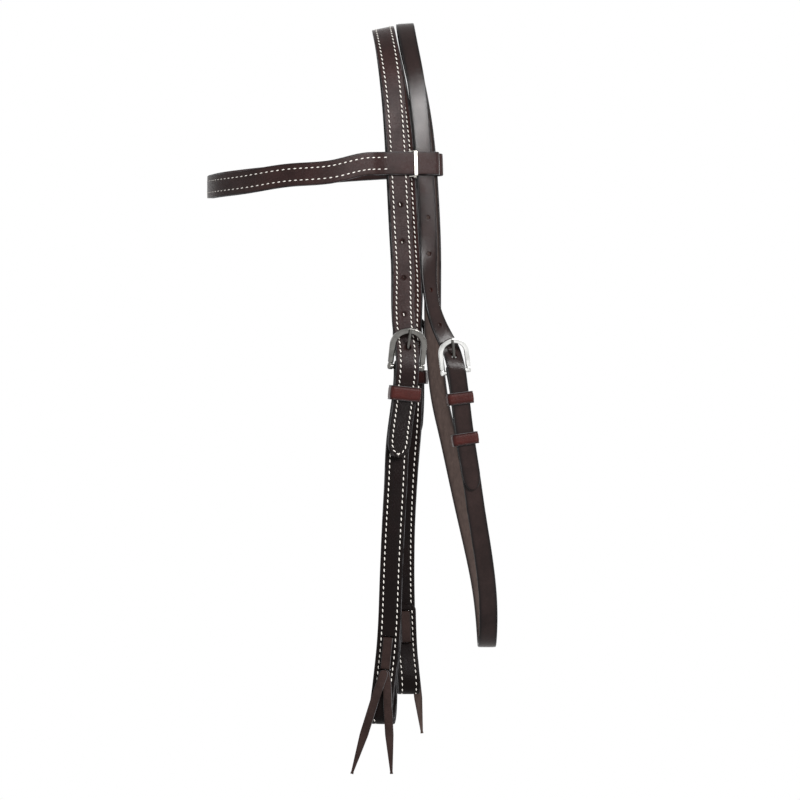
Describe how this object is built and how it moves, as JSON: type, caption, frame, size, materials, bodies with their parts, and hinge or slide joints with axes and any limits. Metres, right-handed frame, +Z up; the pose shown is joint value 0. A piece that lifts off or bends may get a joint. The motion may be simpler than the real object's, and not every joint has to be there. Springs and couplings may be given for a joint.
{
  "type": "western headstall",
  "caption": "Leather headstall with a doubled crown, browband and throatlatch; cheek straps with tied bit loops hang from buckles and hold a bit on a horse's head.",
  "frame": {"origin": "the underside of the crown at the poll, where the headstall hangs", "axes": "+X towards the rear of the horse, +Y from the near side to the far side, +Z up"},
  "size_m": [0.2055, 0.1241, 0.5273],
  "materials": {
    "oiled_leather": "oiled, dark brown",
    "flesh_side_leather": "matt flesh side",
    "keeper_leather": "oiled, reddish brown",
    "lace_leather": "soft, matt",
    "polished_nickel": "polished",
    "dark_steel": "satin",
    "bright_nickel": "bright"
  },
  "bodies": {
    "headstall": {"crown_face": "oiled_leather", "crown_lining": "flesh_side_leather", "near_cheek_strap": "oiled_leather", "far_cheek_strap": "oiled_leather", "near_cheek_keeper": "keeper_leather", "far_cheek_keeper": "keeper_leather", "throatlatch_strap": "oiled_leather", "throat_fixed_keeper": "keeper_leather", "near_tie_band": "lace_leather", "far_tie_band": "lace_leather"},
    "browband": {"browband_face": "oiled_leather", "browband_lining": "flesh_side_leather", "near_browband_divider": "bright_nickel", "far_browband_divider": "bright_nickel"},
    "throat_slider": {"throat_sliding_keeper": "keeper_leather"},
    "throat_frame": {"throat_buckle_frame": "polished_nickel"},
    "throat_tongue": {"throat_buckle_tongue": "dark_steel"},
    "near_cheek_frame": {"near_cheek_buckle_frame": "polished_nickel"},
    "near_cheek_tongue": {"near_cheek_buckle_tongue": "dark_steel"},
    "far_cheek_frame": {"far_cheek_buckle_frame": "polished_nickel"},
    "far_cheek_tongue": {"far_cheek_buckle_tongue": "dark_steel"},
    "near_front_tail": {"near_tie_front_tail": "lace_leather"},
    "near_rear_tail": {"near_tie_rear_tail": "lace_leather"},
    "far_front_tail": {"far_tie_front_tail": "lace_leather"},
    "far_rear_tail": {"far_tie_rear_tail": "lace_leather"}
  },
  "joints": [
    {"name": "browband_slide", "type": "slide", "parent": "headstall", "child": "browband", "axis": [0.0523, 0, -0.9986], "range_m": [-0.008, 0.03]},
    {"name": "throat_keeper_slide", "type": "slide", "parent": "headstall", "child": "throat_slider", "axis": [-0.1482, 0.0003, 0.9889], "range_m": [-0.018, 0.018]},
    {"name": "near_cheek_frame_hinge", "type": "hinge", "parent": "headstall", "child": "near_cheek_frame", "pos_m": [0.0159, -0.046, -0.237], "axis": [0.9859, 0.1564, -0.0594], "range_deg": [0, 2]},
    {"name": "near_cheek_tongue_hinge", "type": "hinge", "parent": "near_cheek_frame", "child": "near_cheek_tongue", "pos_m": [0.0159, -0.046, -0.237], "axis": [0.9859, 0.1564, -0.0594], "range_deg": [0, 1]},
    {"name": "far_cheek_frame_hinge", "type": "hinge", "parent": "headstall", "child": "far_cheek_frame", "pos_m": [0.0196, 0.046, -0.225], "axis": [-0.9857, 0.1564, -0.0631], "range_deg": [0, 2]},
    {"name": "far_cheek_tongue_hinge", "type": "hinge", "parent": "far_cheek_frame", "child": "far_cheek_tongue", "pos_m": [0.0196, 0.046, -0.225], "axis": [-0.9857, 0.1564, -0.0631], "range_deg": [0, 1]},
    {"name": "throat_frame_hinge", "type": "hinge", "parent": "headstall", "child": "throat_frame", "pos_m": [0.0507, -0.04, -0.24], "axis": [0.9824, 0.1045, 0.1547], "range_deg": [0, 2]},
    {"name": "throat_tongue_hinge", "type": "hinge", "parent": "throat_frame", "child": "throat_tongue", "pos_m": [0.0507, -0.04, -0.24], "axis": [0.9824, 0.1045, 0.1547], "range_deg": [0, 1]},
    {"name": "near_front_tail_swing", "type": "hinge", "parent": "headstall", "child": "near_front_tail", "pos_m": [0.00168, -0.04573, -0.45059], "axis": [-0.1356, -0.9908, -0.0022], "range_deg": [-10, 10]},
    {"name": "near_rear_tail_swing", "type": "hinge", "parent": "headstall", "child": "near_rear_tail", "pos_m": [0.00168, -0.04573, -0.45059], "axis": [-0.1356, -0.9908, -0.0022], "range_deg": [-10, 10]},
    {"name": "far_front_tail_swing", "type": "hinge", "parent": "headstall", "child": "far_front_tail", "pos_m": [0.01562, 0.04574, -0.43894], "axis": [-0.091, 0.9957, -0.018], "range_deg": [-10, 10]},
    {"name": "far_rear_tail_swing", "type": "hinge", "parent": "headstall", "child": "far_rear_tail", "pos_m": [0.01562, 0.04574, -0.43894], "axis": [-0.091, 0.9957, -0.018], "range_deg": [-10, 10]}
  ]
}
